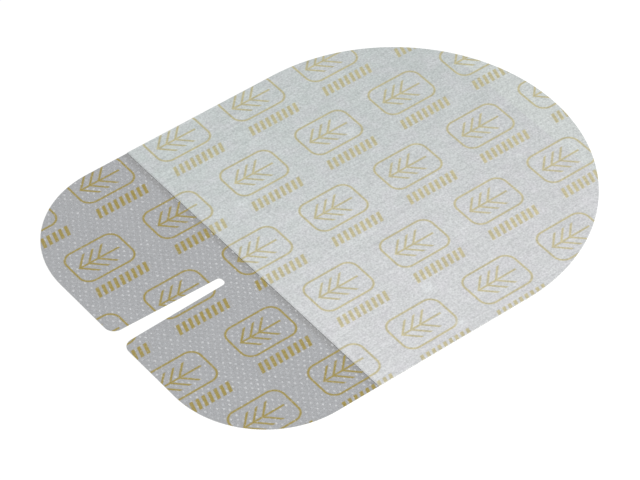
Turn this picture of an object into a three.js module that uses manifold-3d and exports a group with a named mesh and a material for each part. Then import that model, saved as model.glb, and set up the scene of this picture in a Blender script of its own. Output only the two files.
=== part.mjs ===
// Transparent film dressing with a slotted end, lying flat.
// Three sheets share one outline: a release liner, the adhesive-coated film on it, and a carrier sheet over the film
// that stops short of the slotted end.
// Millimetres. +X runs from the slotted end to the round end and +Z points up, away from the liner.
// The origin is the middle of the underside.

import * as THREE from "three";
import { mergeVertices } from "three/addons/utils/BufferGeometryUtils.js";
import Module from "manifold-3d";

// Driving dimensions of the outline
const sheetLength = 120.5;
const sheetWidth = 89;
const slottedCornerRadius = 24;

// Driving dimensions of the slot, which narrows towards its inner end
const slotLength = 28.1;
const slotMouthWidth = 3.8;
const slotInnerWidth = 2.2;
const slotMouthRadius = 2.4;
const slotInnerRadius = 0.9;

// Driving dimensions of the stack
const linerThickness = 0.1;
const filmThickness = 0.05;
const carrierThickness = 0.1;

// Distance from the slotted edge back to the carrier's free edge
const carrierSetback = 35;

// How far a flat facet may stand off the true arc
const chordError = 0.01;

// Largest share of the slot's inner width that one rounded corner may take
const innerRadiusShare = 0.45;

const slottedEdgeX = -sheetLength / 2;
const roundEndX = sheetLength / 2;
const sideY = sheetWidth / 2;
const roundEndRadius = sheetWidth / 2;

const wasm = await Module();
wasm.setup();

// Points along an arc, close enough together to keep to the chord error
function arcPoints(centre, radius, startAngle, sweep) {
  const widestStep = 2 * Math.acos(1 - chordError / radius);
  const steps = Math.ceil(Math.abs(sweep) / widestStep);
  const points = [];
  for (let i = 0; i <= steps; i += 1) {
    const angle = startAngle + (sweep * i) / steps;
    points.push(new THREE.Vector2(centre.x + radius * Math.cos(angle), centre.y + radius * Math.sin(angle)));
  }
  return points;
}

// The arc that rounds one corner of a polygon and is tangent to both of its edges
function roundedCorner(before, corner, after, radius) {
  const inward = before.clone().sub(corner).normalize();
  const outward = after.clone().sub(corner).normalize();
  const halfAngle = Math.acos(inward.dot(outward)) / 2;
  const towardsCentre = inward.clone().add(outward).setLength(radius / Math.sin(halfAngle));
  const centre = corner.clone().add(towardsCentre);
  const start = corner.clone().addScaledVector(inward, radius / Math.tan(halfAngle));
  const turn = Math.sign(outward.cross(inward));
  const sweep = turn * (Math.PI - 2 * halfAngle);
  return arcPoints(centre, radius, start.sub(centre).angle(), sweep);
}

// The outline, anticlockwise from above: the slotted edge, the straight sides, the round end and the slot
function sheetOutline() {
  const innerX = slottedEdgeX + slotLength;
  const innerRadius = Math.min(slotInnerRadius, innerRadiusShare * slotInnerWidth);
  const corners = [
    { x: slottedEdgeX, y: -sideY, radius: slottedCornerRadius },
    { x: roundEndX, y: -sideY, radius: roundEndRadius },
    { x: roundEndX, y: sideY, radius: roundEndRadius },
    { x: slottedEdgeX, y: sideY, radius: slottedCornerRadius },
    { x: slottedEdgeX, y: slotMouthWidth / 2, radius: slotMouthRadius },
    { x: innerX, y: slotInnerWidth / 2, radius: innerRadius },
    { x: innerX, y: -slotInnerWidth / 2, radius: innerRadius },
    { x: slottedEdgeX, y: -slotMouthWidth / 2, radius: slotMouthRadius },
  ];
  const places = corners.map(({ x, y }) => new THREE.Vector2(x, y));
  const points = corners.flatMap(({ radius }, i) => {
    const before = places[(i + corners.length - 1) % corners.length];
    const after = places[(i + 1) % corners.length];
    return roundedCorner(before, places[i], after, radius);
  });
  return points.filter((point, i) => i === 0 || point.distanceTo(points[i - 1]) > chordError);
}

// A flat sheet of the given thickness, cut to the outline, with its underside at z = 0
function sheetGeometry(thickness) {
  return new THREE.ExtrudeGeometry(new THREE.Shape(sheetOutline()), { depth: thickness, bevelEnabled: false });
}

// A closed geometry as a solid that can be cut
function solidOf(geometry) {
  const bare = geometry.clone();
  bare.deleteAttribute("normal");
  bare.deleteAttribute("uv");
  const merged = mergeVertices(bare);
  return new wasm.Manifold(
    new wasm.Mesh({
      numProp: 3,
      vertProperties: merged.attributes.position.array,
      triVerts: new Uint32Array(merged.index.array),
    }),
  );
}

// A solid as a geometry that a mesh can hold
function geometryOf(solid) {
  const { vertProperties, triVerts } = solid.getMesh();
  const geometry = new THREE.BufferGeometry();
  geometry.setAttribute("position", new THREE.BufferAttribute(vertProperties, 3));
  geometry.setIndex(new THREE.BufferAttribute(triVerts, 1));
  geometry.computeVertexNormals();
  return geometry;
}

// The carrier is the same sheet, cut straight across at its free edge
function carrierGeometry() {
  const whole = sheetGeometry(carrierThickness);
  const cutBlock = new THREE.BoxGeometry(sheetLength, 2 * sheetWidth, 2 * carrierThickness);
  cutBlock.translate(slottedEdgeX + carrierSetback - sheetLength / 2, 0, carrierThickness / 2);
  return geometryOf(solidOf(whole).subtract(solidOf(cutBlock)));
}

function sheetMesh(name, geometry, baseZ, finish) {
  const mesh = new THREE.Mesh(geometry, new THREE.MeshStandardMaterial(finish));
  mesh.name = name;
  mesh.position.z = baseZ;
  return mesh;
}

// Grey silicone-coated release liner: the lowest sheet, and the one that carries the print
function releaseLiner() {
  const finish = { color: "#aeafb1", roughness: 0.55, metalness: 0 };
  return sheetMesh("release_liner", sheetGeometry(linerThickness), 0, finish);
}

// Clear polyurethane film with its adhesive, on the liner
function dressingFilm() {
  const finish = { color: "#c9ced3", roughness: 0.35, metalness: 0, transparent: true, opacity: 0.3 };
  return sheetMesh("dressing_film", sheetGeometry(filmThickness), linerThickness, finish);
}

// Frosted carrier sheet that keeps the film flat until it is in place
function carrierSheet() {
  const finish = { color: "#cccfce", roughness: 0.6, metalness: 0 };
  return sheetMesh("carrier_sheet", carrierGeometry(), linerThickness + filmThickness, finish);
}

const dressing = new THREE.Group();
dressing.add(releaseLiner(), dressingFilm(), carrierSheet());

export default dressing;
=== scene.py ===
"""Finishes the slotted film dressing: printed liner, clear film with adhesive spots, and frosted carrier sheet.

The CAD nodes give every outline, size and height. Each sheet is cut again from its node, divided where it has to
bend, and dressed. Lengths are in metres unless a name ends in _mm.
"""

import logging
import math
from dataclasses import dataclass
from enum import IntEnum
from typing import Any, ClassVar

import bmesh
import bpy
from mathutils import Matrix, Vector


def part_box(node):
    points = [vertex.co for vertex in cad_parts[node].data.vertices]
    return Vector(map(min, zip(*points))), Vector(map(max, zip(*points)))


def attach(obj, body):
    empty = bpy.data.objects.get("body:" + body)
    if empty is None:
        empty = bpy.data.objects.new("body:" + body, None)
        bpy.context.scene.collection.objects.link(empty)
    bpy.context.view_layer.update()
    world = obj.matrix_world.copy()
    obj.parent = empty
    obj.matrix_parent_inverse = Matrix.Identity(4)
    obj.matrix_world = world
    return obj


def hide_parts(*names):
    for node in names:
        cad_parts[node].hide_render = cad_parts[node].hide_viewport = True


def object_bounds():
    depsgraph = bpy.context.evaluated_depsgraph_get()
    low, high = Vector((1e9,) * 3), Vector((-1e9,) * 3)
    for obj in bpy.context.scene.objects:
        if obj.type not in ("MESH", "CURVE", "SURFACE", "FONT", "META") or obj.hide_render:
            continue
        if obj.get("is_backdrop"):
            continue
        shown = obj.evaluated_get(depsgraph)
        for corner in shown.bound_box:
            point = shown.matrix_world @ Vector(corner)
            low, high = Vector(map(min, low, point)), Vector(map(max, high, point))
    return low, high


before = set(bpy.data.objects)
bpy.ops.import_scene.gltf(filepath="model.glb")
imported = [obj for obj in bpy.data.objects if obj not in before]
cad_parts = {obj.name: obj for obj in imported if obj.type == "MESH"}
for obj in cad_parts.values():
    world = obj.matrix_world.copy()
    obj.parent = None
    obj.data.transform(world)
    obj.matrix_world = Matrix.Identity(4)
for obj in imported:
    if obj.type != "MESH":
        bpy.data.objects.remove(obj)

LOG = logging.getLogger("film_dressing")

MM = 0.001
BODY = "root"

LINER_NODE = "release_liner"
FILM_NODE = "dressing_film"
CARRIER_NODE = "carrier_sheet"

# How loose the carrier is at each point, which its finish reads
BLISTER_ATTRIBUTE = "blister"

# Which adhesive spots hold air, which the nodes that make them read
AIRY_ATTRIBUTE = "airy"

MATH = "ShaderNodeMath"
VECTOR_MATH = "ShaderNodeVectorMath"
SPLIT = "ShaderNodeSeparateXYZ"
COMBINE = "ShaderNodeCombineXYZ"
RANGE = "ShaderNodeMapRange"
NOISE = "ShaderNodeTexNoise"
MIX = "ShaderNodeMix"
RANDOM = "FunctionNodeRandomValue"

# How many finer layers a noise adds to its largest one
SMOOTH = 0.0
SOFT = 1.0
ROUGH = 2.0

# Most of a noise's values lie between these two
NOISE_LOW = 0.3
NOISE_HIGH = 0.7

# The value at which `shaded` leaves a colour as it is
NEUTRAL = 0.5

PRINT_INK = "#a4913e"

Tree = bpy.types.NodeTree
Node = bpy.types.Node
Feed = bpy.types.Node | bpy.types.NodeSocket | bpy.types.Material | float | str | tuple | None


def linear(code: str) -> tuple[float, float, float, float]:
    """Turns an sRGB hex colour into a linear one.

    Args:
        code: six hex digits after a hash sign.

    Returns:
        Linear red, green and blue, and an alpha of 1.
    """
    parts = [int(code[i : i + 2], 16) / 255 for i in (1, 3, 5)]
    red, green, blue = (c / 12.92 if c <= 0.04045 else ((c + 0.055) / 1.055) ** 2.4 for c in parts)
    return (red, green, blue, 1.0)


def add_node(tree: Tree, kind: str, *feeds: Feed, named: dict[str, Feed] | None = None, **settings: Any) -> Node:
    """Adds a node with its settings, and feeds its inputs.

    Args:
        tree: the node tree that takes the node.
        kind: the node's type.
        *feeds: what feeds the open inputs, in their order: a value, a socket, or a node for its first open output.
        named: what feeds the open inputs of these names.
        **settings: the node's own properties.

    Returns:
        The new node.
    """
    node = tree.nodes.new(kind)
    for name, value in settings.items():
        setattr(node, name, value)
    open_inputs = [socket for socket in node.inputs if socket.enabled]
    pairs = list(zip(open_inputs, feeds))
    for name, feed in (named or {}).items():
        pairs.append((next(socket for socket in open_inputs if socket.name == name), feed))
    for socket, feed in pairs:
        if isinstance(feed, bpy.types.Node):
            feed = next(output for output in feed.outputs if output.enabled)
        if isinstance(feed, bpy.types.NodeSocket):
            tree.links.new(feed, socket)
        elif isinstance(feed, tuple):
            socket.default_value = feed[: len(socket.default_value)]
        elif feed is not None:
            socket.default_value = feed
    return node


def position_mm(tree: Tree) -> Node:
    """Gives the surface point in the dressing's own frame, in mm.

    Args:
        tree: the node tree.

    Returns:
        A node that gives the point.
    """
    place = add_node(tree, "ShaderNodeTexCoord").outputs["Object"]
    return add_node(tree, VECTOR_MATH, place, 1 / MM, operation="SCALE")


def shaded(tree: Tree, colour: Feed, value: Feed, swing: float) -> Node:
    """Makes a colour darker or lighter, by how far a value lies from NEUTRAL.

    Args:
        tree: the node tree.
        colour: the colour to shade.
        value: the value that shades it.
        swing: how much the brightness changes while the value goes from 0 to 1.

    Returns:
        A node that gives the shaded colour.
    """
    factor = add_node(tree, MATH, value, swing, 1 - swing * NEUTRAL, operation="MULTIPLY_ADD")
    return add_node(tree, VECTOR_MATH, colour, factor, operation="SCALE")


@dataclass(frozen=True)
class PaperGrain:
    """The brightness of paper: fine fibres, longer ones along the web, and soft clouds. Lengths are in mm."""

    fibre_mm: float
    fibre_swing: float
    cloud_mm: float
    cloud_swing: float
    streak_mm: float = 0.4
    streak_length_mm: float = 5.0
    streak_swing: float = 0.0

    def lay(self, tree: Tree, place: Feed, colour: Feed) -> Node:
        """Gives a colour the paper's grain.

        Args:
            tree: the node tree.
            place: the surface point, in mm.
            colour: the plain colour.

        Returns:
            A node that gives the grained colour.
        """
        clouds = add_node(tree, NOISE, place, 1 / self.cloud_mm, ROUGH)
        grained = shaded(tree, colour, clouds, self.cloud_swing)
        fibres = add_node(tree, NOISE, place, 1 / self.fibre_mm, SOFT)
        grained = shaded(tree, grained, fibres, self.fibre_swing)
        if self.streak_swing:
            squeeze = (self.streak_mm / self.streak_length_mm, 1.0, 1.0)
            along = add_node(tree, VECTOR_MATH, place, squeeze, operation="MULTIPLY")
            streaks = add_node(tree, NOISE, along, 1 / self.streak_mm, SMOOTH)
            grained = shaded(tree, grained, streaks, self.streak_swing)
        return grained


@dataclass(frozen=True)
class LinePrint:
    """A line print of rounded frames with an arrow in each, and a row of slanted bars under it.

    Every frame stands the same way up, and each row is shifted by a third of the repeat. Lengths are in mm.
    """

    repeat_mm: float = 21.0
    row_mm: float = 19.4
    row_shift: float = 1 / 3
    frame_length_mm: float = 14.0
    frame_height_mm: float = 9.8
    frame_radius_mm: float = 2.6
    frame_rise_mm: float = 2.5
    line_mm: float = 0.5
    head_reach_mm: float = 3.1
    head_angle: float = math.radians(45)
    head_tips_mm: tuple[float, float, float] = (-5.2, -2.8, -0.4)
    shaft_end_mm: float = 5.2
    bar_height_mm: float = 2.9
    bar_drop_mm: float = 5.9
    bar_pitch_mm: float = 1.55
    bar_slant: float = 0.3
    bar_width_mm: float = 0.86
    bars_length_mm: float = 14.5
    ink_edge_mm: float = 0.26

    def mask(self, tree: Tree, place: Feed) -> Node:
        """Draws the print.

        Args:
            tree: the node tree.
            place: the surface point, in mm.

        Returns:
            A node that gives 1 on ink and 0 off it.
        """
        split = add_node(tree, SPLIT, place)
        across = add_node(tree, MATH, split.outputs["Y"], self.row_mm, operation="DIVIDE")
        row = add_node(tree, MATH, across, operation="ROUND")
        along = add_node(tree, MATH, split.outputs["X"], self.repeat_mm, operation="DIVIDE")
        shifted = add_node(tree, MATH, row, self.row_shift, along, operation="MULTIPLY_ADD")
        u = self._from_nearest(tree, shifted, self.repeat_mm)
        v = self._from_nearest(tree, across, self.row_mm)
        raised = add_node(tree, MATH, v, self.frame_rise_mm, operation="SUBTRACT")
        lowered = add_node(tree, MATH, v, self.bar_drop_mm, operation="ADD")
        framed = self._frame(tree, u, raised)
        arrow = self._arrow(tree, u, raised)
        picture = add_node(tree, MATH, framed, arrow, operation="MAXIMUM")
        return add_node(tree, MATH, picture, self._bars(tree, u, lowered), operation="MAXIMUM")

    def _from_nearest(self, tree: Tree, repeats: Feed, length: float) -> Node:
        """Gives how far a place lies from the middle of its repeat, in mm.

        Args:
            tree: the node tree.
            repeats: the place, counted in repeats.
            length: the length of one repeat.

        Returns:
            A node that gives that distance.
        """
        nearest = add_node(tree, MATH, repeats, operation="ROUND")
        off = add_node(tree, MATH, repeats, nearest, operation="SUBTRACT")
        return add_node(tree, MATH, off, length, operation="MULTIPLY")

    def _stroke(self, tree: Tree, off: Feed, width: float) -> Node:
        """Inks what lies within half a width of a line, with the soft edge of an ink that has spread.

        Args:
            tree: the node tree.
            off: how far the place lies from the line.
            width: the line's width.

        Returns:
            A node that gives 1 on ink and 0 off it.
        """
        away = add_node(tree, MATH, off, operation="ABSOLUTE")
        inner = width / 2 - self.ink_edge_mm / 2
        outer = width / 2 + self.ink_edge_mm / 2
        return add_node(tree, RANGE, away, inner, outer, 1.0, 0.0)

    def _frame(self, tree: Tree, u: Feed, v: Feed) -> Node:
        """Draws the outline of a rectangle with round corners.

        Args:
            tree: the node tree.
            u: how far along the place lies from the frame's middle.
            v: how far across it lies from there.

        Returns:
            A node that gives 1 on ink and 0 off it.
        """
        over = []
        for offset, size in ((u, self.frame_length_mm), (v, self.frame_height_mm)):
            away = add_node(tree, MATH, offset, operation="ABSOLUTE")
            over.append(add_node(tree, MATH, away, size / 2 - self.frame_radius_mm, operation="SUBTRACT"))
        out = [add_node(tree, MATH, part, 0.0, operation="MAXIMUM") for part in over]
        square = add_node(tree, MATH, out[1], out[1], operation="MULTIPLY")
        squares = add_node(tree, MATH, out[0], out[0], square, operation="MULTIPLY_ADD")
        corner = add_node(tree, MATH, squares, operation="SQRT")
        deepest = add_node(tree, MATH, over[0], over[1], operation="MAXIMUM")
        inside = add_node(tree, MATH, deepest, 0.0, operation="MINIMUM")
        reach = add_node(tree, MATH, corner, inside, operation="ADD")
        off_line = add_node(tree, MATH, reach, self.frame_radius_mm, operation="SUBTRACT")
        return self._stroke(tree, off_line, self.line_mm)

    def _arrow(self, tree: Tree, u: Feed, v: Feed) -> Node:
        """Draws an arrow with a triple head that points to the slotted end.

        Args:
            tree: the node tree.
            u: how far along the place lies from the frame's middle.
            v: how far across it lies from there.

        Returns:
            A node that gives 1 on ink and 0 off it.
        """
        height = add_node(tree, MATH, v, operation="ABSOLUTE")
        run = add_node(tree, MATH, u, height, operation="SUBTRACT")
        heads = None
        for tip in self.head_tips_mm:
            beside = add_node(tree, MATH, run, tip, operation="SUBTRACT")
            off_line = add_node(tree, MATH, beside, math.cos(self.head_angle), operation="MULTIPLY")
            head = self._stroke(tree, off_line, self.line_mm)
            heads = add_node(tree, MATH, heads, head, operation="MAXIMUM") if heads else head
        reach = self._stroke(tree, height, 2 * self.head_reach_mm)
        heads = add_node(tree, MATH, heads, reach, operation="MULTIPLY")
        first_tip = self.head_tips_mm[0]
        from_middle = add_node(tree, MATH, u, (first_tip + self.shaft_end_mm) / 2, operation="SUBTRACT")
        length = self._stroke(tree, from_middle, self.shaft_end_mm - first_tip)
        shaft = add_node(tree, MATH, self._stroke(tree, v, self.line_mm), length, operation="MULTIPLY")
        return add_node(tree, MATH, heads, shaft, operation="MAXIMUM")

    def _bars(self, tree: Tree, u: Feed, v: Feed) -> Node:
        """Draws a row of short slanted bars.

        Args:
            tree: the node tree.
            u: how far along the place lies from the row's middle.
            v: how far across it lies from there.

        Returns:
            A node that gives 1 on ink and 0 off it.
        """
        slanted = add_node(tree, MATH, v, -self.bar_slant, u, operation="MULTIPLY_ADD")
        pitches = add_node(tree, MATH, slanted, self.bar_pitch_mm, operation="DIVIDE")
        bars = self._stroke(tree, self._from_nearest(tree, pitches, self.bar_pitch_mm), self.bar_width_mm)
        height = self._stroke(tree, v, self.bar_height_mm)
        length = self._stroke(tree, slanted, self.bars_length_mm)
        row = add_node(tree, MATH, height, length, operation="MULTIPLY")
        return add_node(tree, MATH, row, bars, operation="MULTIPLY")


class Finish:
    """What the finishes share: each is one Principled surface that reads the dressing's own coordinates."""

    NAME: ClassVar[str]

    def surface(self, tree: Tree) -> dict[str, Feed]:
        """Gives what feeds the Principled shader's inputs.

        Args:
            tree: the node tree.

        Returns:
            What feeds each of the shader's inputs, by name.
        """
        raise NotImplementedError

    def material(self) -> bpy.types.Material:
        """Builds the material.

        Returns:
            The finished material.
        """
        material = bpy.data.materials.new(self.NAME)
        material.use_nodes = True
        tree = material.node_tree
        tree.nodes.clear()
        shader = add_node(tree, "ShaderNodeBsdfPrincipled", named=self.surface(tree))
        add_node(tree, "ShaderNodeOutputMaterial", shader)
        return material


@dataclass(frozen=True)
class PrintedLinerPaper(Finish):
    """Grey glassine, calendered, silicone-coated and printed.

    The coating makes it even and slightly satin, and the ink sinks in, so it has no gloss of its own. Along the
    carrier's free edge a darker band is painted in, as the shadow that the carrier's edge casts.
    """

    NAME: ClassVar[str] = "glassine_paper_silicone_coated_and_printed"

    free_edge_mm: float
    ground: str = "#afb0b2"
    ink: str = PRINT_INK
    # The colour of the painted shadow that the carrier's free edge casts on the liner
    shadow_band: str = "#9f9f9f"
    shadow_band_start_mm: float = 2.1
    shadow_band_full_mm: float = 0.5
    roughness: float = 0.5
    specular: float = 0.25
    grain: PaperGrain = PaperGrain(fibre_mm=0.45, fibre_swing=0.4, cloud_mm=9.0, cloud_swing=0.1)
    print_lines: LinePrint = LinePrint()

    def surface(self, tree: Tree) -> dict[str, Feed]:
        """Gives the paper's colour and gloss.

        Args:
            tree: the node tree.

        Returns:
            What feeds each of the shader's inputs, by name.
        """
        place = position_mm(tree)
        along = add_node(tree, SPLIT, place).outputs["X"]
        # Painted shadow: the paper darkens towards the carrier's free edge, where the carrier's edge shades it
        start = self.free_edge_mm - self.shadow_band_start_mm
        full = self.free_edge_mm - self.shadow_band_full_mm
        shadow_band = add_node(tree, RANGE, along, start, full, interpolation_type="SMOOTHSTEP")
        paper = add_node(tree, MIX, shadow_band, linear(self.ground), linear(self.shadow_band), data_type="RGBA")
        paper = self.grain.lay(tree, place, paper)
        inked = self.print_lines.mask(tree, place)
        colour = add_node(tree, MIX, inked, paper, linear(self.ink), data_type="RGBA")
        return {"Base Color": colour, "Roughness": self.roughness, "Specular IOR Level": self.specular}


@dataclass(frozen=True)
class LinerBackPaper(Finish):
    """The uncoated back of the glassine: matt, with the print of the other side showing through a little."""

    NAME: ClassVar[str] = "glassine_paper_uncoated"

    ground: str = "#bcbcbd"
    ink: str = PRINT_INK
    ink_share: float = 0.16
    roughness: float = 0.75
    grain: PaperGrain = PaperGrain(fibre_mm=0.6, fibre_swing=0.25, cloud_mm=7.0, cloud_swing=0.1)
    print_lines: LinePrint = LinePrint()

    def surface(self, tree: Tree) -> dict[str, Feed]:
        """Gives the paper's colour.

        Args:
            tree: the node tree.

        Returns:
            What feeds each of the shader's inputs, by name.
        """
        place = position_mm(tree)
        paper = self.grain.lay(tree, place, linear(self.ground))
        share = add_node(tree, MATH, self.print_lines.mask(tree, place), self.ink_share, operation="MULTIPLY")
        colour = add_node(tree, MIX, share, paper, linear(self.ink), data_type="RGBA")
        return {"Base Color": colour, "Roughness": self.roughness}


@dataclass(frozen=True)
class DieCutEdge(Finish):
    """The die-cut edge of paper: open fibres, paler than either side and quite matt."""

    NAME: ClassVar[str] = "paper_edge_die_cut"

    colour: str = "#f0f0ee"
    fibre_mm: float = 0.15
    swing: float = 0.1
    roughness: float = 0.85

    def surface(self, tree: Tree) -> dict[str, Feed]:
        """Gives the edge's colour.

        Args:
            tree: the node tree.

        Returns:
            What feeds each of the shader's inputs, by name.
        """
        fibres = add_node(tree, NOISE, position_mm(tree), 1 / self.fibre_mm, SOFT)
        colour = shaded(tree, linear(self.colour), fibres, self.swing)
        return {"Base Color": colour, "Roughness": self.roughness}


@dataclass(frozen=True)
class CastFilm(Finish):
    """Polyurethane cast to a film of 30 microns: clear, and it shines more the flatter it is looked at.

    Casting leaves it a little uneven, so its gloss comes and goes over a few millimetres.
    """

    NAME: ClassVar[str] = "polyurethane_film_cast_clear"

    haze: str = "#d4dae0"
    clear_opacity: float = 0.03
    sheen_opacity: float = 0.5
    glance_power: float = 5.0
    index: float = 1.5
    smooth: float = 0.2
    dull: float = 0.4
    ripple_mm: float = 6.0

    def surface(self, tree: Tree) -> dict[str, Feed]:
        """Gives the film's haze, sheen and gloss.

        Args:
            tree: the node tree.

        Returns:
            What feeds each of the shader's inputs, by name.
        """
        facing = add_node(tree, "ShaderNodeLayerWeight").outputs["Facing"]
        glance = add_node(tree, MATH, facing, self.glance_power, operation="POWER")
        opacity = add_node(tree, MATH, glance, self.sheen_opacity, self.clear_opacity, operation="MULTIPLY_ADD")
        ripples = add_node(tree, NOISE, position_mm(tree), 1 / self.ripple_mm, SOFT)
        roughness = add_node(tree, RANGE, ripples, NOISE_LOW, NOISE_HIGH, self.smooth, self.dull)
        return {"Base Color": linear(self.haze), "Roughness": roughness, "Alpha": opacity, "IOR": self.index}


@dataclass(frozen=True)
class CoatedAdhesive(Finish):
    """Acrylic adhesive coated in spots: milky, because each spot scatters light.

    Over ink it shows less, as the light that it scatters there comes up through the colour.
    """

    NAME: ClassVar[str] = "acrylic_adhesive_pattern_coated"

    colour: str = "#e4e6ea"
    opacity: float = 0.28
    cloud_mm: float = 3.0
    swing: float = 0.3
    ink_loss: float = 0.75
    roughness: float = 0.4
    print_lines: LinePrint = LinePrint()

    def surface(self, tree: Tree) -> dict[str, Feed]:
        """Gives the spot's colour, which changes a little from spot to spot, and its opacity.

        Args:
            tree: the node tree.

        Returns:
            What feeds each of the shader's inputs, by name.
        """
        place = position_mm(tree)
        clouds = add_node(tree, NOISE, place, 1 / self.cloud_mm, SOFT)
        colour = shaded(tree, linear(self.colour), clouds, self.swing)
        inked = self.print_lines.mask(tree, place)
        loss = -self.ink_loss * self.opacity
        opacity = add_node(tree, MATH, inked, loss, self.opacity, operation="MULTIPLY_ADD")
        return {"Base Color": colour, "Roughness": self.roughness, "Alpha": opacity}


@dataclass(frozen=True)
class AiryAdhesive(CoatedAdhesive):
    """The same adhesive where a spot has not wetted the liner: the air under it makes it whiter."""

    NAME: ClassVar[str] = "acrylic_adhesive_pattern_coated_with_air"

    colour: str = "#f2f3f5"
    opacity: float = 0.44


@dataclass(frozen=True)
class FrostedCarrierPaper(Finish):
    """Carrier paper, frosted in the web: matt, a cool grey-white, with the liner's print showing through it paler.

    It is painted a touch lighter at the slotted end and on the side nearer the lamp, where more light falls. Along
    its free edge a painted shadow makes a fine dark line, beside a fine painted highlight where the cut edge catches
    the light. A margin at the round end isn't bonded to the film, which the eye sees as a straight change of tone.
    """

    NAME: ClassVar[str] = "carrier_paper_frosted"

    free_edge_mm: float
    round_end_mm: float
    # Painted light: the ground is lighter on the near side, where more light falls, and darker on the far side
    far_ground_shaded: str = "#c5cccb"
    near_ground_lit: str = "#d3d5d6"
    patch: str = "#d3ced6"
    patch_share: float = 0.25
    patch_mm: float = 4.0
    patch_from: float = 0.4
    # The ink seen through the paper takes the same painted light
    far_ink_shaded: str = "#bbb48c"
    near_ink_lit: str = "#c4bb95"
    margin_tint: str = "#cfd5d2"
    margin_share: float = 0.6
    margin_depth_mm: float = 8.25
    margin_edge_mm: float = 0.4
    # Painted shadow: a fine dark line on the paper just past its free edge
    rim_shadow_loss: float = 0.12
    rim_shadow_mm: float = 0.3
    rim_shadow_end_mm: float = 0.5
    # Painted highlight: a fine pale line where the cut edge catches the light
    rim_highlight: float = 0.04
    rim_highlight_start_mm: float = 1.3
    rim_highlight_full_mm: float = 0.5
    # Painted shade: the paper gets darker towards the round end
    end_shade: float = 0.075
    end_shade_length_mm: float = 70.0
    # How far to each side the painted light reaches
    side_light_reach_mm: float = 38.0
    # The colour of the painted highlight on each blister
    blister_highlight: str = "#e6eaec"
    grid_pitch_mm: float = 1.29
    grid_swing: float = 0.035
    bump_mm: float = 0.015
    roughness: float = 0.6
    grain: PaperGrain = PaperGrain(
        fibre_mm=0.4, fibre_swing=0.67, cloud_mm=8.0, cloud_swing=0.1, streak_swing=0.17
    )
    print_lines: LinePrint = LinePrint()

    def surface(self, tree: Tree) -> dict[str, Feed]:
        """Gives the paper's colour, with its painted light and shade, and its fine relief.

        Args:
            tree: the node tree.

        Returns:
            What feeds each of the shader's inputs, by name.
        """
        place = position_mm(tree)
        along, across, _ = add_node(tree, SPLIT, place).outputs
        # Painted light: the paper and its ink get lighter towards the near side, where more light falls
        reach = self.side_light_reach_mm
        side = add_node(tree, RANGE, across, reach, -reach, interpolation_type="SMOOTHSTEP")
        paper = add_node(tree, MIX, side, linear(self.far_ground_shaded), linear(self.near_ground_lit), data_type="RGBA")
        ink = add_node(tree, MIX, side, linear(self.far_ink_shaded), linear(self.near_ink_lit), data_type="RGBA")
        paper = self._tone(tree, along, self._patches(tree, place, paper))
        inked = self.print_lines.mask(tree, place)
        paper = add_node(tree, MIX, inked, paper, ink, data_type="RGBA")
        paper = self.grain.lay(tree, place, paper)
        paper = shaded(tree, paper, self._emboss(tree, along, across), self.grid_swing)
        fibres = add_node(tree, NOISE, place, 1 / self.grain.fibre_mm, SOFT)
        # Painted highlight: each blister is whitened where its loose paper catches the light
        loose = add_node(tree, "ShaderNodeAttribute", attribute_name=BLISTER_ATTRIBUTE).outputs["Fac"]
        share = add_node(tree, MATH, loose, fibres, operation="MULTIPLY")
        paper = add_node(tree, MIX, share, paper, linear(self.blister_highlight), data_type="RGBA")
        relief = {"Height": fibres, "Distance": self.bump_mm * MM}
        bump = add_node(tree, "ShaderNodeBump", named=relief)
        return {"Base Color": paper, "Roughness": self.roughness, "Normal": bump}

    def _patches(self, tree: Tree, place: Feed, paper: Feed) -> Node:
        """Adds soft warmer patches, where the paper is a little thicker.

        Args:
            tree: the node tree.
            place: the surface point, in mm.
            paper: the plain colour.

        Returns:
            A node that gives the patched colour.
        """
        spread = add_node(tree, NOISE, place, 1 / self.patch_mm, SOFT)
        share = add_node(tree, RANGE, spread, self.patch_from, NOISE_HIGH, 0.0, self.patch_share)
        return add_node(tree, MIX, share, paper, linear(self.patch), data_type="RGBA")

    def _tone(self, tree: Tree, along: Feed, paper: Feed) -> Node:
        """Adds painted shade that darkens the sheet towards the round end, and the loose margin.
        Along the free edge it adds a painted shadow line and a painted highlight.

        Args:
            tree: the node tree.
            along: the place along the sheet, in mm.
            paper: the plain colour.

        Returns:
            A node that gives the toned colour.
        """
        darker = NEUTRAL - 1
        lighter = NEUTRAL + 1
        margin_start = self.round_end_mm - self.margin_depth_mm
        margin_end = margin_start + self.margin_edge_mm
        margin = add_node(tree, RANGE, along, margin_start, margin_end, 0.0, self.margin_share)
        # Painted shade, darker towards the round end
        end_shade_start = self.round_end_mm - self.end_shade_length_mm
        end_shade_ramp = add_node(tree, RANGE, along, end_shade_start, self.round_end_mm, NEUTRAL, darker)
        # Painted highlight along the free edge, where the cut edge catches the light
        highlight_start = self.free_edge_mm + self.rim_highlight_start_mm
        highlight_end = self.free_edge_mm + self.rim_highlight_full_mm
        rim = add_node(tree, RANGE, along, highlight_start, highlight_end, NEUTRAL, lighter, interpolation_type="SMOOTHSTEP")
        # Painted shadow: a fine dark line just past the free edge
        rim_shadow_start = self.free_edge_mm + self.rim_shadow_mm
        rim_shadow_end = self.free_edge_mm + self.rim_shadow_end_mm
        ends = (rim_shadow_start, rim_shadow_end, darker, NEUTRAL)
        rim_shadow = add_node(tree, RANGE, along, *ends, interpolation_type="SMOOTHSTEP")
        paper = shaded(tree, paper, end_shade_ramp, self.end_shade)
        paper = add_node(tree, MIX, margin, paper, linear(self.margin_tint), data_type="RGBA")
        paper = shaded(tree, paper, rim_shadow, self.rim_shadow_loss)
        return shaded(tree, paper, rim, self.rim_highlight)

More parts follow.
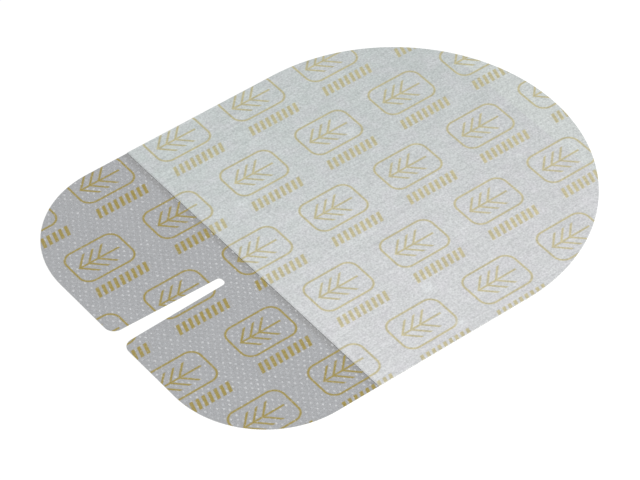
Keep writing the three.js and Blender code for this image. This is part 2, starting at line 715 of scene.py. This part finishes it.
    def _emboss(self, tree: Tree, along: Feed, across: Feed) -> Node:
        """Gives the fine square emboss of the paper, as a value round NEUTRAL.

        Args:
            tree: the node tree.
            along: the place along the sheet, in mm.
            across: the place across it, in mm.

        Returns:
            A node that gives that value.
        """
        waves = []
        for offset in (along, across):
            angle = add_node(tree, MATH, offset, math.tau / self.grid_pitch_mm, operation="MULTIPLY")
            waves.append(add_node(tree, MATH, angle, operation="SINE"))
        both = add_node(tree, MATH, *waves, operation="ADD")
        # Each wave runs from -1 to 1, so this brings their sum to a range of 1
        return add_node(tree, MATH, both, 1 / 4, NEUTRAL, operation="MULTIPLY_ADD")


@dataclass(frozen=True)
class CarrierBackPaper(Finish):
    """The smooth side of the carrier paper, which lies on the film: white and matt."""

    NAME: ClassVar[str] = "carrier_paper_smooth"

    ground: str = "#dfe2e1"
    roughness: float = 0.7
    grain: PaperGrain = PaperGrain(fibre_mm=0.5, fibre_swing=0.25, cloud_mm=7.0, cloud_swing=0.08)

    def surface(self, tree: Tree) -> dict[str, Feed]:
        """Gives the paper's colour.

        Args:
            tree: the node tree.

        Returns:
            What feeds each of the shader's inputs, by name.
        """
        colour = self.grain.lay(tree, position_mm(tree), linear(self.ground))
        return {"Base Color": colour, "Roughness": self.roughness}


class Face(IntEnum):
    """The sides of a sheet, which are also its material slots."""

    UPPER = 0
    LOWER = 1
    EDGE = 2


@dataclass
class SheetCut:
    """One sheet cut to the outline of its CAD node, with its own lower and upper level."""

    name: str
    node: str
    lower: float
    upper: float
    cell: float | None = None

    # Points closer than this are one point, and faces flatter than this are one face
    merge_within: float = 0.002 * MM
    flat_within: float = math.radians(0.5)

    # A face whose normal rises or falls less than this belongs to the cut edge
    edge_rise: float = 0.5

    def build(self) -> bpy.types.Object:
        """Makes the sheet as a closed mesh at the origin.

        Returns:
            The new object, in the scene.
        """
        low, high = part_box(self.node)
        middle = (low.z + high.z) / 2
        bm = bmesh.new()
        bm.from_mesh(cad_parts[self.node].data)
        bmesh.ops.remove_doubles(bm, verts=bm.verts, dist=self.merge_within)
        for vertex in bm.verts:
            vertex.co.z = self.upper if vertex.co.z > middle else self.lower
        bmesh.ops.dissolve_limit(bm, angle_limit=self.flat_within, verts=bm.verts, edges=bm.edges)
        if self.cell:
            self._divide(bm, low, high)
        bm.normal_update()
        for face in bm.faces:
            face.material_index = self._side(face.normal.z)
        mesh = bpy.data.meshes.new(self.name)
        bm.to_mesh(mesh)
        bm.free()
        sheet = bpy.data.objects.new(self.name, mesh)
        bpy.context.scene.collection.objects.link(sheet)
        return sheet

    def _side(self, rise: float) -> Face:
        """Tells a face's side from its normal.

        Args:
            rise: how far the face's normal points up, from -1 to 1.

        Returns:
            The side.
        """
        if abs(rise) < self.edge_rise:
            return Face.EDGE
        return Face.UPPER if rise > 0 else Face.LOWER

    def _divide(self, bm: bmesh.types.BMesh, low: Vector, high: Vector) -> None:
        """Cuts the sheet's faces along a square grid, so that it can bend.

        Args:
            bm: the sheet's mesh, which is changed.
            low: the lowest corner of the sheet's box.
            high: its highest corner.
        """
        for axis in (0, 1):
            normal = Vector((axis == 0, axis == 1, 0))
            for step in range(1, math.ceil((high[axis] - low[axis]) / self.cell)):
                point = normal * (low[axis] + step * self.cell)
                geometry = [*bm.verts, *bm.edges, *bm.faces]
                bmesh.ops.bisect_plane(bm, geom=geometry, plane_co=point, plane_no=normal, dist=self.merge_within)


def dress(piece: bpy.types.Object, upper: Finish, lower: Finish, edge: Finish) -> None:
    """Gives a sheet its finishes.

    Args:
        piece: a sheet made by SheetCut.
        upper: the finish of its upper side.
        lower: the finish of its lower side.
        edge: the finish of its cut edge.
    """
    # A finish that serves two sides is built once
    made = {finish: finish.material() for finish in (upper, lower, edge)}
    for finish in (upper, lower, edge):
        piece.data.materials.append(made[finish])


def fit_piece(piece: bpy.types.Object, slot: str, *nodes: str) -> None:
    """Joins a finished piece to the frame.

    Args:
        piece: the piece, at the origin.
        slot: not used.
        *nodes: the CAD nodes that it stands for.
    """
    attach(piece, BODY)
    if nodes:
        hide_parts(*nodes)
    LOG.info("%s: %d faces", piece.name, len(piece.data.polygons))


class Liner:
    """The release liner, lowest of the three sheets, printed on its upper side."""

    def make(self) -> bpy.types.Object:
        """Builds and dresses the liner.

        Returns:
            The finished piece.
        """
        low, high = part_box(LINER_NODE)
        free_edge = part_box(CARRIER_NODE)[0].x
        piece = SheetCut("liner_paper", LINER_NODE, low.z, high.z).build()
        dress(piece, PrintedLinerPaper(free_edge / MM), LinerBackPaper(), DieCutEdge())
        fit_piece(piece, LINER_NODE, LINER_NODE)
        return piece


@dataclass
class AdhesiveSpots:
    """Spots of adhesive under the film, in staggered rows that lean a little off the dressing's axis.

    More of them hold air towards one side. Those well under the carrier never show and are left out.
    """

    row_pitch: float = 1.642 * MM
    row_spacing: float = 1.047 * MM
    row_lean: float = math.radians(6.7)
    stagger: float = 0.431
    spot_length: float = 0.62 * MM
    spot_width: float = 0.46 * MM
    thickness: float = 0.02 * MM
    edge_margin: float = 0.4 * MM
    wander: float = 0.03 * MM
    lap: float = 2 * MM
    airy_share: float = 0.33
    airy_slope: float = 3.5
    swell: float = 0.15
    sides: int = 8
    probe: float = 10 * MM
    seed: int = 7

    # What each later draw adds to the seed
    AIRY_DRAW: ClassVar[int] = 1
    SWELL_DRAW: ClassVar[int] = 2

    def make(self) -> bpy.types.Object:
        """Builds and dresses all the spots as one piece.

        Returns:
            The finished piece.
        """
        low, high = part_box(FILM_NODE)
        sizes = {
            "Row Pitch": self.row_pitch,
            "Row Spacing": self.row_spacing,
            "Stagger": self.stagger,
            "Lean": self.row_lean,
            "Reach": (high - low).xy.length,
            "Level": low.z + self.thickness / 2,
            "Spot Width": self.spot_width,
            "Spot Length": self.spot_length,
            "Edge Margin": self.edge_margin,
            "Wander": self.wander,
            "Airy Share": self.airy_share,
            "Airy Slope": self.airy_slope,
            "Seed": self.seed,
        }
        ground = self._ground(low)
        tree = self._tree(sizes)
        modifier = ground.modifiers.new("spots", "NODES")
        modifier.node_group = tree
        for item in tree.interface.items_tree:
            if item.in_out == "INPUT" and item.name in sizes:
                modifier[item.identifier] = sizes[item.name]
        evaluated = ground.evaluated_get(bpy.context.evaluated_depsgraph_get())
        mesh = bpy.data.meshes.new_from_object(evaluated)
        ground.modifiers.remove(modifier)
        spots = bpy.data.objects.new("adhesive_spots", mesh)
        bpy.context.scene.collection.objects.link(spots)
        bpy.data.objects.remove(ground)
        # A real spot scatters light on to the paper under it, which a plain see-through face can't do
        spots.visible_shadow = False
        spots.visible_diffuse = False
        fit_piece(spots, FILM_NODE)
        return spots

    def _ground(self, low: Vector) -> bpy.types.Object:
        """Cuts the one flat face that the spots may lie on, from the film's outline.

        Args:
            low: the lowest corner of the film's box.

        Returns:
            The object that holds the face.
        """
        ground = SheetCut("adhesive_ground", FILM_NODE, low.z, low.z + MM).build()
        bm = bmesh.new()
        bm.from_mesh(ground.data)
        spare = [face for face in bm.faces if face.material_index != Face.LOWER]
        bmesh.ops.delete(bm, geom=spare, context="FACES")
        end = (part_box(CARRIER_NODE)[0].x + self.lap, 0, 0)
        geometry = [*bm.verts, *bm.edges, *bm.faces]
        bmesh.ops.bisect_plane(bm, geom=geometry, plane_co=end, plane_no=(1, 0, 0), clear_outer=True)
        bm.to_mesh(ground.data)
        bm.free()
        return ground

    def _tree(self, sizes: dict[str, float | int]) -> Tree:
        """Builds the tree that sets a spot on every lattice point that lies inside the ground face.

        Args:
            sizes: the name and value of each of its inputs.

        Returns:
            The new tree.
        """
        tree = bpy.data.node_groups.new("adhesive_spots", "GeometryNodeTree")
        tree.interface.new_socket("Ground", in_out="INPUT", socket_type="NodeSocketGeometry")
        for name, size in sizes.items():
            kind = "NodeSocketInt" if isinstance(size, int) else "NodeSocketFloat"
            tree.interface.new_socket(name, in_out="INPUT", socket_type=kind)
        tree.interface.new_socket("Spots", in_out="OUTPUT", socket_type="NodeSocketGeometry")
        given = add_node(tree, "NodeGroupInput").outputs
        points = self._inside(tree, given, self._lattice(tree, given))
        spots = self._spots(tree, given, self._airy(tree, given, points))
        real = add_node(tree, "GeometryNodeRealizeInstances", spots)
        coated = {"Geometry": real, "Material": CoatedAdhesive().material()}
        plain = add_node(tree, "GeometryNodeSetMaterial", named=coated)
        airy = add_node(tree, "GeometryNodeInputNamedAttribute", AIRY_ATTRIBUTE, data_type="BOOLEAN")
        with_air = {"Geometry": plain, "Selection": airy, "Material": AiryAdhesive().material()}
        add_node(tree, "NodeGroupOutput", add_node(tree, "GeometryNodeSetMaterial", named=with_air))
        return tree

    def _lattice(self, tree: Tree, given: Any) -> Node:
        """Lays out staggered rows of points over the whole reach, and lets each wander a little.

        Args:
            tree: the spots' own tree.
            given: the outputs of its group input.

        Returns:
            A node that gives the points.
        """
        counts = []
        spans = []
        for pitch in (given["Row Pitch"], given["Row Spacing"]):
            steps = add_node(tree, MATH, given["Reach"], pitch, operation="DIVIDE")
            whole = add_node(tree, MATH, steps, operation="CEIL")
            counts.append(add_node(tree, MATH, whole, 1.0, operation="ADD"))
            spans.append(add_node(tree, MATH, whole, pitch, operation="MULTIPLY"))
        grid = add_node(tree, "GeometryNodeMeshGrid", *spans, *counts)
        split = add_node(tree, SPLIT, add_node(tree, "GeometryNodeInputPosition"))
        rows = add_node(tree, MATH, split.outputs["Y"], given["Row Spacing"], operation="DIVIDE")
        row = add_node(tree, MATH, rows, operation="ROUND")
        odd = add_node(tree, MATH, row, 2.0, operation="FLOORED_MODULO")
        pitches = add_node(tree, MATH, odd, given["Stagger"], operation="MULTIPLY")
        shift = add_node(tree, MATH, pitches, given["Row Pitch"], operation="MULTIPLY")
        offset = add_node(tree, COMBINE, shift, 0.0, given["Level"])
        low, high = (-1.0, -1.0, 0.0), (1.0, 1.0, 0.0)
        stray = add_node(tree, RANDOM, low, high, named={"Seed": given["Seed"]}, data_type="FLOAT_VECTOR")
        strayed = add_node(tree, VECTOR_MATH, stray, given["Wander"], offset, operation="MULTIPLY_ADD")
        moved = add_node(tree, "GeometryNodeSetPosition", named={"Geometry": grid, "Offset": strayed})
        turn = add_node(tree, COMBINE, 0.0, 0.0, given["Lean"])
        return add_node(tree, "GeometryNodeTransform", named={"Geometry": moved, "Rotation": turn})

    def _inside(self, tree: Tree, given: Any, points: Feed) -> Node:
        """Drops the points that lie off the ground face or too close to its edge.

        Args:
            tree: the spots' own tree.
            given: the outputs of its group input.
            points: the points so far.

        Returns:
            A node that gives the rest.
        """
        place = add_node(tree, "GeometryNodeInputPosition")
        above = add_node(tree, VECTOR_MATH, place, (0.0, 0.0, self.probe), operation="ADD")
        aim = {
            "Target Geometry": given["Ground"],
            "Source Position": above,
            "Ray Direction": (0.0, 0.0, -1.0),
            "Ray Length": 2 * self.probe,
        }
        ray = add_node(tree, "GeometryNodeRaycast", named=aim)
        rim = add_node(tree, "GeometryNodeProximity", given["Ground"], target_element="EDGES")
        away = rim.outputs["Distance"]
        clear = add_node(tree, "FunctionNodeCompare", away, given["Edge Margin"], operation="GREATER_THAN")
        off = add_node(tree, "FunctionNodeBooleanMath", ray.outputs["Is Hit"], clear, operation="NAND")
        return add_node(tree, "GeometryNodeDeleteGeometry", points, off)

    def _airy(self, tree: Tree, given: Any, points: Feed) -> Node:
        """Marks the points whose spot holds air.

        Args:
            tree: the spots' own tree.
            given: the outputs of its group input.
            points: the points so far.

        Returns:
            A node that gives the marked points.
        """
        across = add_node(tree, SPLIT, add_node(tree, "GeometryNodeInputPosition")).outputs["Y"]
        less = add_node(tree, MATH, across, given["Airy Slope"], operation="MULTIPLY")
        chance = add_node(tree, MATH, given["Airy Share"], less, operation="SUBTRACT", use_clamp=True)
        seed = add_node(tree, MATH, given["Seed"], self.AIRY_DRAW, operation="ADD")
        airy = add_node(tree, RANDOM, named={"Probability": chance, "Seed": seed}, data_type="BOOLEAN")
        stored = {"Geometry": points, "Name": AIRY_ATTRIBUTE, "Value": airy}
        return add_node(tree, "GeometryNodeStoreNamedAttribute", named=stored, data_type="BOOLEAN")

    def _spots(self, tree: Tree, given: Any, points: Feed) -> Node:
        """Sets a flat spot of a random size on each point.

        Args:
            tree: the spots' own tree.
            given: the outputs of its group input.
            points: the points so far.

        Returns:
            A node that gives the spots.
        """
        # The disc is 1 across, so its scale is the spot's size
        disc = add_node(tree, "GeometryNodeMeshCircle", self.sides, 1 / 2, fill_type="NGON")
        seed = add_node(tree, MATH, given["Seed"], self.SWELL_DRAW, operation="ADD")
        swell = add_node(tree, RANDOM, 1 - self.swell, 1 + self.swell, named={"Seed": seed})
        flat = add_node(tree, COMBINE, given["Spot Width"], given["Spot Length"], 1.0)
        size = add_node(tree, VECTOR_MATH, flat, swell, operation="SCALE")
        fed = {"Points": points, "Instance": disc, "Scale": size}
        return add_node(tree, "GeometryNodeInstanceOnPoints", named=fed)


class Film:
    """The clear film, which floats on its adhesive spots a few microns above the liner."""

    def make(self, under: bpy.types.Object) -> bpy.types.Object:
        """Builds and dresses the film and the adhesive under it.

        Args:
            under: not used.

        Returns:
            The finished film.
        """
        low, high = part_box(FILM_NODE)
        adhesive = AdhesiveSpots()
        spots = adhesive.make()
        piece = SheetCut("polyurethane_film", FILM_NODE, low.z + adhesive.thickness, high.z).build()
        finish = CastFilm()
        dress(piece, finish, finish, finish)
        fit_piece(piece, FILM_NODE, FILM_NODE)
        return piece


@dataclass(frozen=True)
class Blister:
    """A small place where the carrier has come off the film, set out from the slotted edge and the axis."""

    from_edge_mm: float
    across_mm: float
    radius_mm: float


@dataclass
class Carrier:
    """The frosted carrier sheet, which has a few small blisters."""

    cell: float = 1 * MM
    film_gap: float = 0.002 * MM
    sharp_angle: float = math.radians(30)
    blister_height: float = 0.04 * MM
    blisters: tuple[Blister, ...] = (
        Blister(78, 19, 2.2),
        Blister(45, 16, 1.6),
        Blister(61, -29, 2.4),
        Blister(60, -41, 2.0),
    )

    def make(self, under: bpy.types.Object) -> bpy.types.Object:
        """Builds and dresses the carrier.

        Args:
            under: not used.

        Returns:
            The finished piece.
        """
        low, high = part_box(CARRIER_NODE)
        slotted_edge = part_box(LINER_NODE)[0].x
        piece = SheetCut("carrier_paper", CARRIER_NODE, low.z + self.film_gap, high.z, self.cell).build()
        loose = [self._loose(vertex.co, slotted_edge) for vertex in piece.data.vertices]
        for vertex, share in zip(piece.data.vertices, loose):
            vertex.co.z += self.blister_height * share
        attribute = piece.data.attributes.new(BLISTER_ATTRIBUTE, "FLOAT", "POINT")
        attribute.data.foreach_set("value", loose)
        piece.data.shade_smooth()
        piece.data.set_sharp_from_angle(angle=self.sharp_angle)
        finish = FrostedCarrierPaper(low.x / MM, high.x / MM)
        dress(piece, finish, CarrierBackPaper(), DieCutEdge())
        fit_piece(piece, CARRIER_NODE, CARRIER_NODE)
        return piece

    def _loose(self, point: Vector, slotted_edge: float) -> float:
        """Gives how loose the carrier is at a point.

        Args:
            point: a point of the sheet.
            slotted_edge: where the slotted edge lies along the axis.

        Returns:
            0 where it is bonded, and up to 1 in the middle of a blister.
        """
        loose = 0.0
        for blister in self.blisters:
            centre = Vector((slotted_edge + blister.from_edge_mm * MM, blister.across_mm * MM))
            off = (point.xy - centre).length / (blister.radius_mm * MM)
            loose = max(loose, max(0.0, 1 - off * off) ** 2)
        return loose


@dataclass(frozen=True)
class PhotoCamera:
    """A long lens that looks down on the dressing from beyond its slotted end."""

    azimuth: float = math.radians(-38.24)
    elevation: float = math.radians(45.39)
    distance: float = 747.4 * MM
    lens_mm: float = 192.5
    sensor_mm: float = 36.0
    aim_right: float = -4.52 * MM
    aim_up: float = -5.49 * MM

    def make(self) -> None:
        """Places the camera and makes it the scene's own."""
        low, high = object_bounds()
        centre = Vector(((low[0] + high[0]) / 2, (low[1] + high[1]) / 2, 0))
        data = bpy.data.cameras.new("photo_camera")
        data.lens = self.lens_mm
        data.sensor_width = self.sensor_mm
        camera = bpy.data.objects.new("photo_camera", data)
        level = math.cos(self.elevation)
        back = Vector((math.sin(self.azimuth) * level, -math.cos(self.azimuth) * level, math.sin(self.elevation)))
        right = Vector((math.cos(self.azimuth), math.sin(self.azimuth), 0))
        up = back.cross(right)
        camera.rotation_euler = back.to_track_quat("Z", "Y").to_euler()
        camera.location = centre + back * self.distance + right * self.aim_right + up * self.aim_up
        bpy.context.scene.collection.objects.link(camera)
        bpy.context.scene.camera = camera


@dataclass(frozen=True)
class Studio:
    """A pale floor under soft light, with the background plain white to the camera."""

    FLOOR: ClassVar[str] = "floor"

    floor_size: float = 4.0
    floor_drop: float = 0.01 * MM
    floor_grey: str = "#e6e6e6"
    floor_fill: float = 0.31
    sky_strength: float = 0.775
    lamp_power: float = 8.75
    lamp_size: float = 0.7
    lamp_place: tuple[float, float, float] = (0.3, -0.85, 0.85)

    def make(self) -> None:
        """Builds the floor, the lamp and the world."""
        bpy.context.scene.view_settings.view_transform = "Standard"
        self._floor()
        self._lamp()
        self._world()

    def _floor(self) -> None:
        """Lays the floor just under the dressing."""
        half = self.floor_size / 2
        sides = ((-half, -half), (half, -half), (half, half), (-half, half))
        mesh = bpy.data.meshes.new(self.FLOOR)
        mesh.from_pydata([(x, y, -self.floor_drop) for x, y in sides], [], [(0, 1, 2, 3)])
        floor = bpy.data.objects.new(self.FLOOR, mesh)
        bpy.context.scene.collection.objects.link(floor)
        material = bpy.data.materials.new("white_board_matt")
        material.use_nodes = True
        tree = material.node_tree
        tree.nodes.clear()
        board = add_node(tree, "ShaderNodeBsdfDiffuse", linear(self.floor_grey))
        fill = add_node(tree, MATH, self._seen(tree), self.floor_fill, operation="MULTIPLY")
        glow = add_node(tree, "ShaderNodeEmission", named={"Strength": fill})
        add_node(tree, "ShaderNodeOutputMaterial", add_node(tree, "ShaderNodeAddShader", board, glow))
        mesh.materials.append(material)
        floor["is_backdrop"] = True

    def _seen(self, tree: Tree) -> Node:
        """Tells what the camera sees directly, mirrored or through glass.

        Args:
            tree: the node tree that needs it.

        Returns:
            A node that gives 1 for such a ray and 0 for others.
        """
        path = add_node(tree, "ShaderNodeLightPath").outputs
        indirect = add_node(tree, MATH, path["Is Glossy Ray"], path["Is Transmission Ray"], operation="MAXIMUM")
        return add_node(tree, MATH, path["Is Camera Ray"], indirect, operation="MAXIMUM")

    def _lamp(self) -> None:
        """Hangs one large soft lamp over the side nearer the camera."""
        data = bpy.data.lights.new("softbox", "AREA")
        data.energy = self.lamp_power
        data.size = self.lamp_size
        lamp = bpy.data.objects.new("softbox", data)
        lamp.location = self.lamp_place
        lamp.rotation_euler = Vector(self.lamp_place).to_track_quat("Z", "Y").to_euler()
        bpy.context.scene.collection.objects.link(lamp)

    def _world(self) -> None:
        """Makes the world a soft even light that looks plain white."""
        world = bpy.data.worlds.new("studio")
        bpy.context.scene.world = world
        world.use_nodes = True
        tree = world.node_tree
        tree.nodes.clear()
        strength = add_node(tree, RANGE, self._seen(tree), 0.0, 1.0, self.sky_strength, 1.0)
        sky = add_node(tree, "ShaderNodeBackground", named={"Strength": strength})
        add_node(tree, "ShaderNodeOutputWorld", sky)


def main() -> None:
    """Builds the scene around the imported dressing."""
    logging.basicConfig(level=logging.INFO, format="%(name)s: %(message)s")
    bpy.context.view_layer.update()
    PhotoCamera().make()
    Studio().make()
    liner = Liner().make()
    film = Film().make(liner)
    Carrier().make(film)


if __name__ == "__main__":
    main()
